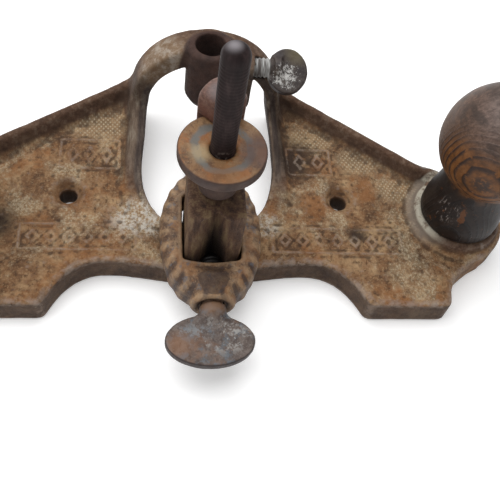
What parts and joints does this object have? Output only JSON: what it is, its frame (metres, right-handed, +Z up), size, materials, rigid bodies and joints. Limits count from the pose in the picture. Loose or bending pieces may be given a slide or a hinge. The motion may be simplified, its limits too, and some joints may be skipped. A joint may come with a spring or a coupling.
{
  "type": "router plane",
  "caption": "Open-throat hand router plane: cast body with arch and two knobs, square-shank cutter held by a sliding collar, raised and lowered by a nut on a threaded stud.",
  "frame": {"origin": "on the sole, under the middle of the post that holds the cutter", "axes": "+X along the plane from the left knob to the right knob, +Y from the feet towards the arch, +Z up from the sole"},
  "size_m": [0.1966, 0.1035, 0.0875],
  "materials": {
    "cast_body": "worn plating over rusty cast iron",
    "cast_collar": "rusty cast iron",
    "rusty_steel": "orange-brown rusted steel",
    "dark_steel": "dark brown-black oxidised steel",
    "knob_wood": "worn dark stained hardwood"
  },
  "bodies": {
    "frame": {"body_casting": "cast_body", "adjusting_screw": "dark_steel", "left_knob": "knob_wood", "right_knob": "knob_wood", "left_knob_screw": "dark_steel", "right_knob_screw": "dark_steel"},
    "cutter": {"cutter": "rusty_steel"},
    "nut": {"adjusting_nut": "rusty_steel"},
    "collar": {"clamp_collar": "cast_collar"},
    "collar_screw": {"collar_thumbscrew": "dark_steel"},
    "rod_screw": {"depth_rod_thumbscrew": "dark_steel"}
  },
  "joints": [
    {"name": "cutter_slide", "type": "slide", "parent": "frame", "child": "cutter", "axis": [0, 0, 1], "range_m": [-0.0018, 0.0045]},
    {"name": "nut_turn", "type": "hinge", "parent": "cutter", "child": "nut", "pos_m": [0, 0, 0.0523], "axis": [0, 0, 1], "range_deg": [-613, 1532]},
    {"name": "collar_slide", "type": "slide", "parent": "frame", "child": "collar", "axis": [0, 0, 1], "range_m": [0, 0.018]},
    {"name": "collar_screw_turn", "type": "hinge", "parent": "collar", "child": "collar_screw", "pos_m": [0, -0.03, 0.013], "axis": [0, -1, 0], "range_deg": [0, 720]},
    {"name": "rod_screw_turn", "type": "hinge", "parent": "frame", "child": "rod_screw", "pos_m": [0.02, 0.0533, 0.031], "axis": [1, 0, 0], "range_deg": [-720, 720]}
  ],
  "couplings": [
    {"joint": "nut_turn", "follows": "cutter_slide", "rad_per_m": 5936.9}
  ]
}
